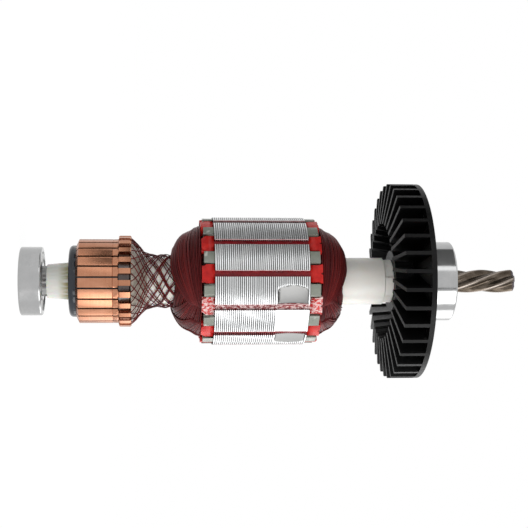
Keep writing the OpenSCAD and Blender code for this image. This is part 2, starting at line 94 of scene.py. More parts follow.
class Field:
    # an output of a node, which plain arithmetic can use
    def __init__(self, tree, socket):
        self.tree, self.socket = tree, socket

    def calc(self, operation, *others):
        return calc(self.tree, operation, self, *others)

    def __add__(self, other):
        return self.calc("ADD", other)

    def __sub__(self, other):
        return self.calc("SUBTRACT", other)

    def __rsub__(self, other):
        return calc(self.tree, "SUBTRACT", other, self)

    def __mul__(self, other):
        return self.calc("MULTIPLY", other)

    def __truediv__(self, other):
        return self.calc("DIVIDE", other)

    def __rtruediv__(self, other):
        return calc(self.tree, "DIVIDE", other, self)

    def __pow__(self, other):
        return self.calc("POWER", other)

    def __lt__(self, other):
        return self.calc("LESS_THAN", other)

    def __gt__(self, other):
        return self.calc("GREATER_THAN", other)

    def __abs__(self):
        return self.calc("ABSOLUTE")


def addNode(tree, kind, inputs=None, **settings):
    n = tree.nodes.new(kind)
    for key, value in settings.items():
        setattr(n, key, value)
    for key, value in (inputs or {}).items():
        if isinstance(value, Field):
            tree.links.new(value.socket, n.inputs[key])
        else:
            n.inputs[key].default_value = value
    return n


def result(tree, kind, inputs=None, output=0, **settings):
    return Field(tree, addNode(tree, kind, inputs, **settings).outputs[output])


def calc(tree, operation, *values):
    return result(tree, "ShaderNodeMath", dict(enumerate(values)), operation=operation)


def blend(start, end, share):
    return (end - start) * share + start


def partsOf(vector):
    outputs = addNode(vector.tree, "ShaderNodeSeparateXYZ", {0: vector}).outputs
    return [Field(vector.tree, output) for output in outputs]


def rangeOf(value, low, high, toLow=0.0, toHigh=1.0, **settings):
    ends = {0: value, 1: low, 2: high, 3: toLow, 4: toHigh}
    return result(value.tree, "ShaderNodeMapRange", ends, **settings)


def noise(place, scale, detail=3.0, rough=0.5):
    inputs = {"Vector": place, "Scale": scale, "Detail": detail, "Roughness": rough}
    return result(place.tree, "ShaderNodeTexNoise", inputs, "Fac")


def ramp(value, *stops):
    n = addNode(value.tree, "ShaderNodeValToRGB", {0: value})
    points = n.color_ramp.elements
    while len(points) < len(stops):
        points.new(0.5)
    for point, (place, colour) in zip(points, stops):
        point.position = place
        point.color = (*colour, 1)
    return Field(value.tree, n.outputs[0])


def mixColour(factor, start, end):
    ends = {6: start, 7: end}
    inputs = {key: (*colour, 1) if isinstance(colour, tuple) else colour for key, colour in ends.items()}
    return result(factor.tree, "ShaderNodeMix", {0: factor, **inputs}, 2, data_type="RGBA")


def startFinish(name, **plain):
    mat = bpy.data.materials.new(name)
    mat.use_nodes = True
    tree = mat.node_tree
    shader = tree.nodes["Principled BSDF"]
    for key, value in plain.items():
        shader.inputs[key.replace("_", " ")].default_value = value
    return mat, shader, result(tree, "ShaderNodeTexCoord", output="Object")


def stretched(place, x, y, z):
    return result(place.tree, "ShaderNodeMapping", {"Vector": place, "Scale": (x, y, z)})


def axisDistance(place):
    flat = stretched(place, 1, 1, 0)
    return result(place.tree, "ShaderNodeVectorMath", {0: flat}, "Value", operation="LENGTH")


def attributeOf(tree, name):
    return result(tree, "ShaderNodeAttribute", output="Fac", attribute_name=name)


def feed(shader, **values):
    for key, value in values.items():
        value.tree.links.new(value.socket, shader.inputs[key.replace("_", " ")])


def bump(shader, height, distance):
    inputs = {"Height": height, "Distance": distance, "Strength": 1.0}
    feed(shader, Normal=result(height.tree, "ShaderNodeBump", inputs))


# finishes

def turnedMetal(name, dark, light, rough, lines=9000.0, wear=0.5, depth=0.004 * mm):
    # fine turning marks round the shaft, and faint patches of wear
    mat, shader, place = startFinish(name, Metallic=1.0)
    marks = noise(stretched(place, 30, 30, lines), 1.0, 2.0)
    patches = noise(place, 260.0, 4.0, 0.6)
    feed(shader, Base_Color=ramp(marks * (1 - wear) + patches * wear, (0.3, dark), (0.7, light)),
         Roughness=rangeOf(patches, 0.3, 0.7, rough * 0.8, rough * 1.25))
    bump(shader, marks, depth)
    return mat


def moulded(name, dark, light, rough, grain, depth, spots=None, **plain):
    # moulded or coated surface with a fine grain, soft mottling and a few specks
    mat, shader, place = startFinish(name, **plain)
    colour = ramp(noise(place, grain * 0.12, 4.0, 0.6), (0.3, dark), (0.7, light))
    fine = noise(place, grain, 3.0, 0.55)
    if spots:
        amount, spotColour = spots
        speck = rangeOf(noise(place, grain * 0.35, 1.0), 1 - amount, 1 - amount * 0.8)
        colour = mixColour(speck, colour, spotColour)
    feed(shader, Base_Color=colour, Roughness=rangeOf(fine, 0.3, 0.7, rough * 0.8, rough * 1.2))
    bump(shader, fine, depth)
    return mat


def milkySleeveFinish():
    # translucent plastic, stained yellow-green near the commutator
    stainEnd, stainLength = footOf("commutator_hub") - 0.4 * mm, 3.2 * mm
    mat, shader, place = startFinish("milkySleeve", Subsurface_Weight=0.3, Subsurface_Scale=1.0 * mm,
                                     Coat_Weight=0.3, Coat_Roughness=0.2)
    near = rangeOf(partsOf(place)[2], stainEnd - stainLength, stainEnd)
    streaks = noise(stretched(place, 900, 900, 60), 1.0, 4.0, 0.65)
    clean = ramp(streaks, (0.3, (0.76, 0.75, 0.69)), (0.7, (0.87, 0.86, 0.81)))
    feed(shader, Base_Color=mixColour(near * rangeOf(streaks, 0.36, 0.54), clean, (0.36, 0.33, 0.1)),
         Roughness=rangeOf(streaks, 0.3, 0.7, 0.25, 0.45))
    bump(shader, streaks, 0.02 * mm)
    return mat


def copperFinish():
    # turned copper: fine lines round the track, a little tarnish in patches
    mat, shader, place = startFinish("copper", Metallic=1.0)
    marks = noise(stretched(place, 40, 40, 7000), 1.0, 3.0)
    tarnish = noise(stretched(place, 240, 240, 120), 1.0, 4.0, 0.6)
    colour = ramp(tarnish, (0.3, (0.4, 0.165, 0.09)), (0.55, (0.46, 0.205, 0.12)), (0.75, (0.53, 0.25, 0.155)))
    colour = mixColour(rangeOf(marks, 0.3, 0.7, 0.0, 0.12), colour, (0.8, 0.5, 0.33))
    # the bars' sides are painted dark, as painted shade in the slits between the bars, between the chamfer and
    # the hooks
    sideRadius, chamferEnd, hookStart = 13.36 * mm, footOf("commutator_bar_1") + 0.8 * mm, zHooks - 4.0 * mm
    height = partsOf(place)[2]
    slitShade = (rangeOf(axisDistance(place), sideRadius, sideRadius - 0.26 * mm)
             * rangeOf(height, chamferEnd, chamferEnd + 0.3 * mm)
             * rangeOf(height, hookStart, hookStart - 0.3 * mm))
    feed(shader, Base_Color=mixColour(slitShade, colour, (0.035, 0.008, 0.005)),
         Roughness=rangeOf(tarnish, 0.3, 0.7, 0.22, 0.34))
    bump(shader, marks, 0.0015 * mm)
    return mat


def wireFinish():
    # varnished magnet wire: each strand has its own shade, kept in the attribute strandTint
    mat, shader, place = startFinish("enamelledWire", Metallic=0.2, Specular_IOR_Level=0.25)
    blotch = noise(place, 420.0, 3.0, 0.6)
    tone = attributeOf(place.tree, "strandTint") * 0.7 + blotch * 0.3
    colour = ramp(tone, (0.1, (0.05, 0.003, 0.004)), (0.6, (0.11, 0.006, 0.007)), (0.9, (0.19, 0.014, 0.012)))
    feed(shader, Base_Color=colour, Roughness=rangeOf(blotch, 0.3, 0.7, 0.3, 0.45))
    bump(shader, blotch, 0.02 * mm)
    return mat


def laminationFinish():
    # edges of stacked sheets, each with its own grey: dark in the joints (attribute joint), milled
    # smooth where the attribute cut is 1
    mat, shader, place = startFinish("laminations", Metallic=0.95)
    sheet = ((partsOf(place)[2] - zCore) / sheetPitch).calc("FLOOR")
    shade = result(place.tree, "ShaderNodeTexWhiteNoise", {"W": sheet}, "Value", noise_dimensions="1D")
    smear = noise(stretched(place, 700, 700, 90), 1.0, 4.0, 0.6)
    stacked = ramp(shade * 0.55 + smear * 0.45,
                   (0.2, (0.62, 0.63, 0.635)), (0.55, (0.72, 0.73, 0.735)), (0.85, (0.82, 0.83, 0.835)))
    joint, cut = (attributeOf(place.tree, name) for name in ("joint", "cut"))
    stacked = mixColour(rangeOf(joint, 0.02, 0.3), stacked, (0.03, 0.031, 0.033))
    feed(shader, Base_Color=mixColour(cut, stacked, (0.17, 0.17, 0.167)),
         Roughness=rangeOf(cut, 0, 1, 0.36, 0.3))
    bump(shader, smear, 0.004 * mm)
    return mat


def frosted(place, colour):
    # painted highlight: pale pink glints painted on the creases, where the marking attribute is set
    glintingCreases = rangeOf(noise(stretched(place, 1500, 1500, 1000), 1.0, 4.0, 0.7), 0.47, 0.57)
    return mixColour(glintingCreases * attributeOf(place.tree, "glint"), colour, (0.86, 0.62, 0.6))


def redFibreFinish():
    # vulcanised fibre paper, satin, with darker smears of varnish
    mat, shader, place = startFinish("redFibre", Specular_IOR_Level=0.3)
    smear = noise(place, 330.0, 4.0, 0.6)
    fibres = noise(stretched(place, 1500, 1500, 500), 1.0, 3.0, 0.6)
    red = ramp(smear, (0.3, (0.42, 0.006, 0.006)), (0.65, (0.68, 0.02, 0.014)))
    # the marked tab gets pale glints, a painted highlight
    feed(shader, Base_Color=frosted(place, red), Roughness=rangeOf(fibres, 0.3, 0.7, 0.3, 0.45))
    bump(shader, fibres, 0.008 * mm)
    return mat


def varnishedPaperFinish():
    # the same fibre in the slots' mouths, wet with varnish
    mat, shader, place = startFinish("varnishedPaper", Coat_Weight=0.12, Coat_Roughness=0.1,
                                     Specular_IOR_Level=0.25)
    smear = noise(stretched(place, 500, 500, 160), 1.0, 4.0, 0.6)
    red = ramp(smear, (0.3, (0.13, 0.002, 0.006)), (0.65, (0.3, 0.006, 0.012)))
    # the marked strip gets pale glints, a painted highlight
    feed(shader, Base_Color=frosted(place, red), Roughness=rangeOf(smear, 0.3, 0.7, 0.25, 0.4))
    bump(shader, smear, 0.03 * mm)
    return mat


def shaftFinish():
    # bright steel up to the front bearing, then a browned pinion with worn crests and a blue edge at the tip
    crestRadius, browningStart, tip = 3.62 * mm, topOf("front_inner_ring") - 0.2 * mm, topOf("shaft")
    mat, shader, place = startFinish("shaftSteel", Metallic=1.0)
    height = partsOf(place)[2]
    patches = noise(stretched(place, 500, 500, 260), 1.0, 4.0, 0.65)
    marks = noise(stretched(place, 3800, 3800, 700), 1.0, 2.0)
    brown = ramp(patches,
                 (0.28, (0.035, 0.027, 0.02)), (0.5, (0.085, 0.068, 0.052)), (0.75, (0.17, 0.14, 0.115)))
    worn = rangeOf(axisDistance(place), crestRadius, crestRadius + 0.18 * mm, 0.0, 0.6)
    brown = mixColour(worn, brown, (0.5, 0.44, 0.39))
    blued = rangeOf(height, tip - 0.9 * mm, tip - 0.1 * mm, 0.0, 0.5)
    tinted = mixColour(blued, brown, (0.13, 0.12, 0.18))
    browned = rangeOf(height, browningStart, browningStart + 0.5 * mm)
    feed(shader, Base_Color=mixColour(browned, (0.55, 0.55, 0.54), tinted),
         Roughness=rangeOf(patches, 0.3, 0.7, 0.22, 0.4))
    bump(shader, marks, 0.006 * mm)
    return mat


def resinFinish():
    # resin and paper behind the crossing leads
    mat, shader, place = startFinish("leadResin", Coat_Weight=0.4, Coat_Roughness=0.2)
    smear = noise(place, 500.0, 4.0, 0.6)
    feed(shader, Base_Color=ramp(smear, (0.3, (0.34, 0.3, 0.24)), (0.7, (0.58, 0.54, 0.47))),
         Roughness=rangeOf(smear, 0.3, 0.7, 0.3, 0.5))
    bump(shader, smear, 0.05 * mm)
    return mat


bearingSteel = turnedMetal("bearingSteel", (0.38, 0.385, 0.385), (0.44, 0.44, 0.44), 0.15, wear=0.8,
                           depth=0.001 * mm)
shieldSteel = turnedMetal("shieldSteel", (0.3, 0.3, 0.29), (0.5, 0.5, 0.49), 0.32, lines=60.0, wear=0.8)
ballSteel = turnedMetal("ballSteel", (0.6, 0.6, 0.6), (0.7, 0.7, 0.7), 0.12, lines=60.0, wear=1.0)
cageNylon = moulded("cageNylon", (0.62, 0.52, 0.34), (0.72, 0.62, 0.44), rough=0.45, grain=900.0,
                    depth=0.01 * mm)
phenolic = moulded("phenolic", (0.014, 0.018, 0.026), (0.026, 0.031, 0.042), rough=0.17, grain=2200.0,
                   depth=0.006 * mm, Specular_IOR_Level=0.4)
blackPlastic = moulded("blackPlastic", (0.002, 0.002, 0.0022), (0.004, 0.004, 0.0042), rough=0.42, grain=1500.0,
                       depth=0.01 * mm, spots=(0.22, (0.02, 0.02, 0.02)), Specular_IOR_Level=0.16)
# the fan's broken edges in a lighter grey: a painted highlight where the bevels catch the light
fanEdgeHighlight = moulded("fanEdgeHighlight", (0.03, 0.03, 0.031), (0.06, 0.06, 0.062), rough=0.4, grain=1500.0,
                      depth=0.01 * mm, spots=(0.3, (0.25, 0.25, 0.25)))
insulatorFibre = moulded("insulatorFibre", (0.16, 0.175, 0.14), (0.3, 0.32, 0.27), rough=0.33, grain=700.0,
                         depth=0.03 * mm, spots=(0.3, (0.62, 0.64, 0.58)), Coat_Weight=0.3, Coat_Roughness=0.15)
creamPlastic = moulded("creamPlastic", (0.83, 0.81, 0.75), (0.87, 0.85, 0.8), rough=0.35, grain=1100.0,
                       depth=0.008 * mm, spots=(0.22, (0.25, 0.2, 0.14)), Subsurface_Weight=0.15,
                       Subsurface_Scale=0.8 * mm)
varnishBead = moulded("varnishBead", (0.5, 0.2, 0.2), (0.85, 0.66, 0.66), rough=0.15, grain=1400.0,
                      depth=0.01 * mm, Coat_Weight=0.6, Coat_Roughness=0.1)
hookResin = moulded("hookResin", (0.035, 0.018, 0.014), (0.09, 0.06, 0.055), rough=0.3, grain=900.0,
                    depth=0.03 * mm, Coat_Weight=0.5, Coat_Roughness=0.15)
enamelledWire = wireFinish()
laminations = laminationFinish()
varnishedPaper = varnishedPaperFinish()
leadResin = resinFinish()
finishOf = {
    "shaft_steel": shaftFinish(), "bearing_steel": bearingSteel, "ball_steel": ballSteel,
    "cage_nylon": cageNylon, "shield_steel": shieldSteel, "milky_sleeve": milkySleeveFinish(),
    "phenolic": phenolic, "copper": copperFinish(), "enamelled_wire": enamelledWire,
    "laminations": laminations, "insulator_fibre": insulatorFibre, "red_fibre": redFibreFinish(),
    "cream_plastic": creamPlastic, "black_plastic": blackPlastic,
}
slotOf = {row["node"]: row["material_slot"] for row in frame["record"]["subparts"]}
bodyOf = {n: body for body, members in frame["record"]["behaviour"]["bodies"].items() for n in members}
for name, node in nodes.items():
    node.data.materials.clear()
    node.data.materials.append(finishOf[slotOf[name]])
print("finishes made")


# building blocks of the pieces made by geometry nodes

def startTree(name, **inputs):
    tree = bpy.data.node_groups.new(name, "GeometryNodeTree")
    tree.interface.new_socket("Geometry", in_out="OUTPUT", socket_type="NodeSocketGeometry")
    kinds = {int: "NodeSocketInt", float: "NodeSocketFloat"}
    for key, kind in inputs.items():
        tree.interface.new_socket(key, in_out="INPUT", socket_type=kinds.get(kind, kind))
    outputs = addNode(tree, "NodeGroupInput").outputs
    return tree, SimpleNamespace(**{key: Field(tree, outputs[key]) for key in inputs})


def endTree(geometry, material):
    tree = geometry.tree
    real = result(tree, "GeometryNodeRealizeInstances", {0: geometry})
    painted = result(tree, "GeometryNodeSetMaterial", {0: real, "Material": material})
    addNode(tree, "NodeGroupOutput", {0: painted})
    return tree


def curve(value, *points):
    # a smooth curve through points with both coordinates from 0 to 1
    n = addNode(value.tree, "ShaderNodeFloatCurve", {1: value})
    line = n.mapping.curves[0]
    while len(line.points) < len(points):
        line.points.new(0.5, 0.5)
    for point, place in zip(line.points, points):
        point.location = place
        point.handle_type = "AUTO"
    n.mapping.update()
    return Field(value.tree, n.outputs[0])


def randomOf(owner, seed, low=-1.0, high=1.0):
    inputs = {2: low, 3: high, 7: owner, 8: seed}
    return result(owner.tree, "FunctionNodeRandomValue", inputs, 1, data_type="FLOAT")


def position(tree):
    return partsOf(result(tree, "GeometryNodeInputPosition"))


def combined(x, y, z):
    return result(x.tree, "ShaderNodeCombineXYZ", {0: x, 1: y, 2: z})


def marked(geometry, name, value):
    return result(geometry.tree, "GeometryNodeStoreNamedAttribute", {0: geometry, "Name": name, "Value": value},
                  data_type="FLOAT", domain="POINT")


def rowOf(count, item):
    # copies of an item, each 1 above the last
    tree = item.tree
    points = result(tree, "GeometryNodeMeshLine", {"Count": count})
    placed = result(tree, "GeometryNodeInstanceOnPoints", {"Points": points, "Instance": item})
    return result(tree, "GeometryNodeRealizeInstances", {0: placed})


def manyLines(lines, steps):
    # straight lines of points, waiting to be bent; returns geometry, line number, share of the way
    tree = steps.tree
    line = result(tree, "GeometryNodeMeshLine", {"Count": steps})
    index = result(tree, "GeometryNodeInputIndex")
    number = ((index + 0.5) / steps).calc("FLOOR")
    return rowOf(lines, line), number, (index - number * steps) / (steps - 1.0)


def bendRound(geometry, radius, angle, height):
    place = combined(radius * angle.calc("COSINE"), radius * angle.calc("SINE"), height)
    return result(geometry.tree, "GeometryNodeSetPosition", {0: geometry, "Position": place})


def wiresFrom(geometry, wireRadius, sides, tint):
    tree = geometry.tree
    line = result(tree, "GeometryNodeMeshToCurve", {0: marked(geometry, "strandTint", tint)})
    ring = result(tree, "GeometryNodeCurvePrimitiveCircle", {"Resolution": sides, "Radius": wireRadius})
    tube = result(tree, "GeometryNodeCurveToMesh", {"Curve": line, "Profile Curve": ring, "Fill Caps": True})
    return result(tree, "GeometryNodeSetShadeSmooth", {0: tube})


patchBack = 0.3


def closedPatch(tree, sizeY, countX, countY):
    # a flat patch with a back that hangs patchBack under its face and shares its rim
    face = result(tree, "GeometryNodeMeshGrid",
                  {"Size X": 1.0, "Size Y": sizeY, "Vertices X": countX, "Vertices Y": countY})
    x, y, _ = position(tree)
    rim = 0.499
    within = (abs(x) < rim) * (abs(y) < rim * sizeY)
    lowered = result(tree, "GeometryNodeSetPosition",
                     {"Geometry": face, "Selection": within, "Offset": (0.0, 0.0, -patchBack)})
    back = result(tree, "GeometryNodeFlipFaces", {0: lowered})
    both = addNode(tree, "GeometryNodeJoinGeometry")
    for half in (face, back):
        tree.links.new(half.socket, both.inputs[0])
    return result(tree, "GeometryNodeMergeByDistance",
                  {"Geometry": Field(tree, both.outputs[0]), "Distance": 1e-4})


# pieces and their meshes

def addPiece(name, mesh):
    piece = bpy.data.objects.new(name, mesh)
    scene.collection.objects.link(piece)
    return piece


def bake(piece):
    # the result of the modifiers becomes the mesh itself
    graph = bpy.context.evaluated_depsgraph_get()
    piece.data = bpy.data.meshes.new_from_object(piece.evaluated_get(graph), preserve_all_data_layers=True,
                                                 depsgraph=graph)
    piece.modifiers.clear()
    piece.data.name = piece.name


def bakeTree(name, tree, values):
    piece = addPiece(name, bpy.data.meshes.new(name + "Empty"))
    shape = piece.modifiers.new("shape", "NODES")
    shape.node_group = tree
    for item in tree.interface.items_tree:
        if item.in_out == "INPUT":
            shape[item.identifier] = values[item.name]
    bake(piece)
    return piece


def dress(piece, body, slotName, *replaced):
    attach(piece, body)
    if replaced:
        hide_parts(*replaced)


def smoothTo(mesh, degrees):
    mesh.shade_smooth()
    mesh.set_sharp_from_angle(angle=math.radians(degrees))


def profileAt(base, points, side=1):
    # pairs of radius and distance from the base in mm, as places on the shaft
    return [(r * mm, base + side * h * mm) for r, h in points]


def turnedMesh(name, profile, material, segments=96):
    # closed profile of (radius, height) pairs turned round the shaft
    mesh = bpy.data.meshes.new(name)
    b = bmesh.new()
    rings = []
    for i in range(segments):
        a = math.tau * i / segments
        rings.append([b.verts.new((r * math.cos(a), r * math.sin(a), z)) for r, z in profile])
    for i in range(segments):
        here, there = rings[i - 1], rings[i]
        for k in range(len(profile)):
            b.faces.new((here[k - 1], there[k - 1], there[k], here[k]))
    bmesh.ops.recalc_face_normals(b, faces=b.faces)
    b.to_mesh(mesh)
    b.free()
    mesh.materials.append(material)
    smoothTo(mesh, 40)
    return addPiece(name, mesh)


# leads between the hooks and the coils

def leadTree():
    # leads run down a cone to the tube, and gather into slanting bundles towards the coils
    tree, get = startTree("leadNet", Wires=int, Steps=int, WireRadius=float, OuterRadius=float,
                          NeckRadius=float, StartHeight=float, EndHeight=float, FirstAngle=float,
                          Sweep=float, Groups=int, Gather=float, Seed=int, Material="NodeSocketMaterial")
    roamRadius, roamAngle, gatherPower, sides, tintSeed = 0.22 * mm, 0.14, 0.9, 6, 7
    lines, wire, share = manyLines(get.Wires, get.Steps)
    wander = randomOf(wire, get.Seed) * share
    cone = curve(share, (0, 1), (0.1, 0.8), (0.22, 0.45), (0.36, 0.12), (0.48, 0.02), (1, 0))
    radius = blend(get.NeckRadius, get.OuterRadius, cone) + wander * roamRadius
    turned = curve(share, (0, 0), (0.15, 0.07), (0.36, 0.3), (0.62, 0.58), (0.88, 0.9), (1, 1))
    start = wire * (math.tau / get.Wires) + get.FirstAngle
    free = turned * get.Sweep + start + wander * roamAngle
    bundlePitch = math.tau / get.Groups
    snapped = ((start / bundlePitch).calc("FLOOR") + 0.5) * bundlePitch
    angle = (snapped - start) * (share ** gatherPower * get.Gather) + free
    bent = bendRound(lines, radius, angle, blend(get.StartHeight, get.EndHeight, share))
    return endTree(wiresFrom(bent, get.WireRadius, sides, randomOf(wire, tintSeed, 0.2, 1.0)), get.Material)


leads = dict(Wires=24, Steps=40, WireRadius=0.17 * mm, OuterRadius=13.6 * mm, NeckRadius=8.1 * mm,
             StartHeight=zHooks - 0.4 * mm, EndHeight=zRear - 8.6 * mm, FirstAngle=math.radians(3.7),
             Sweep=math.radians(150), Groups=8, Gather=0.66, Seed=4, Material=enamelledWire)
crossing = dict(leads, OuterRadius=14.0 * mm, NeckRadius=8.5 * mm, Seed=9, FirstAngle=math.radians(0.7),
                Sweep=-leads["Sweep"])
leadNet = leadTree()
for name, layer in (("innerLeads", leads), ("outerLeads", crossing)):
    dress(bakeTree(name, leadNet, layer), "rotor", "enamelled_wire", "lead_wires")

tubeRadius = 7.65
resinProfile = [(tubeRadius, -0.1), (12.9, -0.1), (12.6, 0.4), (10.9, 1.6), (9.2, 3.0), (8.1, 4.2),
                (tubeRadius, 5.0)]
fillerProfile = [(11.4, -3.9), (13.3, -3.9), (13.0, -2.4), (12.9, -0.6), (11.4, -0.3)]
for name, profile, finish in (("leadResin", resinProfile, leadResin), ("hookFiller", fillerProfile, hookResin)):
    dress(turnedMesh(name, profileAt(zHooks, profile), finish), "rotor", "enamelled_wire")
print("leads made")


# coils

def coilTree():
    # strands of each coil leave one slot, spread over the dome and enter the slot on its other side
    tree, get = startTree("coilHead", Coils=int, Strands=int, Steps=int, WireRadius=float, SlotRadius=float,
                          SlotDepth=float, NeckRadius=float, Height=float, Base=float, Side=float, Span=float,
                          TopAngle=float, Layer=float, Seed=int, Material="NodeSocketMaterial")
    liftSeed, tintSeed, sides, lift, footSpread, footDepth = 11, 3, 5, 0.1 * mm, 0.07, 1.5 * mm
    lines, strand, share = manyLines(get.Coils * get.Strands, get.Steps)
    coil = ((strand + 0.5) / get.Strands).calc("FLOOR")
    across = (strand - coil * get.Strands) / get.Strands
    halfCount = get.Coils / 2.0
    sunk = (halfCount - 1.0 - coil.calc("MODULO", halfCount)) * get.Layer
    wander = randomOf(strand, get.Seed)
    along = share * 2.0 - 1.0
    arch = (abs(along) * (math.pi / 2 * 0.999)).calc("COSINE") ** 0.75
    place = (across * 0.86 + 0.1 + wander * 0.02) * arch
    domeRadius = curve(place, (0, 1), (0.15, 0.93), (0.27, 0.82), (0.4, 0.74), (0.52, 0.63), (0.64, 0.48),
                       (0.75, 0.33), (0.85, 0.22), (0.94, 0.07), (1, 0))
    domeHeight = curve(place, (0, 0), (0.15, 0.2), (0.27, 0.36), (0.4, 0.52), (0.52, 0.67), (0.64, 0.79),
                       (0.75, 0.88), (0.85, 0.95), (0.94, 0.99), (1, 1))
    radius = blend(get.NeckRadius, get.SlotRadius, domeRadius) - sunk + randomOf(strand, liftSeed) * lift
    height = (get.Height - sunk) * domeHeight
    foot = rangeOf(abs(along), 0.84, 1.0, interpolation_type="SMOOTHSTEP")
    radius = blend(radius, get.SlotRadius - across * get.SlotDepth, foot)
    height = blend(height, -footDepth, foot)
    middle = coil * (math.tau / get.Coils) + get.TopAngle
    angle = along * get.Span + middle + wander * foot * footSpread
    bent = bendRound(lines, radius, angle, height * get.Side + get.Base)
    return endTree(wiresFrom(bent, get.WireRadius, sides, randomOf(strand, tintSeed, 0.0, 1.0)), get.Material)


coil = dict(Coils=12, Strands=34, Steps=27, WireRadius=0.22 * mm, SlotRadius=17.9 * mm, SlotDepth=4.2 * mm,
            NeckRadius=8.7 * mm, Height=10.2 * mm, Base=zRear, Side=-1.0, Span=math.radians(74),
            TopAngle=math.radians(-96.7), Layer=0.32 * mm, Seed=2, Material=enamelledWire)
coilHead = coilTree()
rearCoils = bakeTree("rearCoils", coilHead, coil)
frontCoils = bakeTree("frontCoils", coilHead, dict(coil, Base=zFront, Side=1.0, Height=10.0 * mm, Seed=6))
for piece in (rearCoils, frontCoils):
    dress(piece, "rotor", "enamelled_wire", "winding")
fillProfile = [(tubeRadius, 0), (15.0, 0), (14.6, 2), (13.4, 4), (12.4, 5.6), (10.8, 7), (9.4, 8), (8.0, 8.6),
               (tubeRadius, 8.8)]
for name, base, side in (("rearCoilFill", zRear, -1), ("frontCoilFill", zFront, 1)):
    dress(turnedMesh(name, profileAt(base, fillProfile, side), enamelledWire, 72), "rotor", "enamelled_wire")
print("windings made")


# sheets of the core, and what lies in the slots' mouths

def sheetTree():
    # the edge of each sheet over each tooth, with a joint between sheets, sunk where the core is milled
    tree, get = startTree("sheetEdges", Sheets=int, Teeth=int, Radius=float, Foot=float, Pitch=float,
                          Joint=float, JointDepth=float, MouthAngle=float, FirstAngle=float, CutStart=float,
                          CutEnd=float, CutAngle=float, CutHalf=float, CutDepth=float, CutterRadius=float,
                          CrownRadius=float, Seed=int, Material="NodeSocketMaterial")
    unevenness, wallDepth, cutSink, runOut = 0.02 * mm, 1.0 * mm, 0.12 * mm, math.radians(14)
    # rows of a patch: wall, joint, top, top, joint, wall; columns: wall, eleven on the arc, wall
    real = rowOf(get.Sheets * get.Teeth, closedPatch(tree, 5.0, 13, 6))
    x, y, z = position(tree)
    block = z.calc("ROUND")
    sheet = ((block + 0.5) / get.Teeth).calc("FLOOR")
    tooth = block - sheet * get.Teeth
    isWall, isTop, isEnd = abs(y) > 2.0, abs(y) < 1.0, abs(x) > 0.48
    isBack = z < block - patchBack / 2
    arc = (x * 1.2).calc("MAXIMUM", -0.5).calc("MINIMUM", 0.5)
    toothPitch = math.tau / get.Teeth
    angle = (tooth + 0.5) * toothPitch + get.FirstAngle + arc * (toothPitch - get.MouthAngle * 2.0)
    halfPitch = get.Pitch * 0.5
    reach = blend(halfPitch, halfPitch - get.Joint * 0.5, isTop)
    height = sheet * get.Pitch + (get.Foot + halfPitch) + y.calc("SIGN") * reach
    uneven = randomOf(block, get.Seed, 0.0, 1.0) * unevenness
    radius = get.Radius - (1.0 - isTop) * get.JointDepth - uneven
    # the milled cut: a crowned cutter plunged in along an arc
    offCentre = height - (get.CutStart + get.CutEnd) * 0.5
    crown = (get.CrownRadius * get.CrownRadius - offCentre * offCentre).calc("SQRT")
    cutter = get.CutterRadius - (get.CrownRadius - crown)
    axis = get.Radius - get.CutDepth + get.CutterRadius
    turn = abs((angle - get.CutAngle).calc("WRAP", math.pi, -math.pi))
    past = (turn - get.CutHalf).calc("MAXIMUM", 0.0)
    aside = axis * past.calc("SINE")
    milled = axis * past.calc("COSINE") - (cutter * cutter - aside * aside).calc("SQRT") - cutSink
    inside = (past < runOut) * (height > get.CutStart) * (height < get.CutEnd)
    radius = blend(radius, radius.calc("MINIMUM", milled), inside)
    radius = radius - isBack.calc("MAXIMUM", isWall).calc("MAXIMUM", isEnd) * wallDepth
    bent = bendRound(marked(real, "joint", 1.0 - isTop), radius, angle, height)
    return endTree(result(tree, "GeometryNodeSetShadeSmooth", {0: bent}), get.Material)


def paperTree():
    # a strip of crumpled paper lies in each slot's mouth
    tree, get = startTree("mouthPapers", Slots=int, Steps=int, Radius=float, Width=float, Foot=float,
                          Length=float, FirstAngle=float, Crumple=float, FrostedSlot=int, Seed=int,
                          Material="NodeSocketMaterial")
    thickness, foldsAlong, foldsAcross, slotStep = 0.15 * mm, 46.0, 3.0, 7.3
    real = rowOf(get.Slots, closedPatch(tree, 1.0, get.Steps, 7))
    x, y, z = position(tree)
    slot = z.calc("ROUND")
    isBack = z < slot - patchBack / 2
    folds = noise(combined(x * foldsAlong, y * foldsAcross, slot * slotStep + get.Seed), 1.0, 3.0, 0.6)
    radius = (folds - 0.5) * get.Crumple + get.Radius - isBack * thickness
    angle = slot * (math.tau / get.Slots) + get.FirstAngle - y * get.Width / get.Radius
    height = (x + 0.5) * get.Length + get.Foot
    # the strip in one slot is marked for pale glints, a painted highlight
    glint = marked(real, "glint", slot.calc("COMPARE", get.FrostedSlot, 0.1))
    return endTree(bendRound(glint, radius, angle, height), get.Material)


def beadTree():
    # a bead of varnish along one edge of each tooth
    tree, get = startTree("varnishBeads", Slots=int, Steps=int, Radius=float, BeadRadius=float, Foot=float,
                          Length=float, FirstAngle=float, Seed=int, Material="NodeSocketMaterial")
    roamAngle, sides, tint = 0.0015, 6, 0.0
    lines, slot, share = manyLines(get.Slots, get.Steps)
    wander = randomOf(result(tree, "GeometryNodeInputIndex"), get.Seed)
    angle = slot * (math.tau / get.Slots) + get.FirstAngle + wander * roamAngle
    bent = bendRound(lines, get.Radius, angle, share * get.Length + get.Foot)
    return endTree(wiresFrom(bent, get.BeadRadius, sides, tint), get.Material)


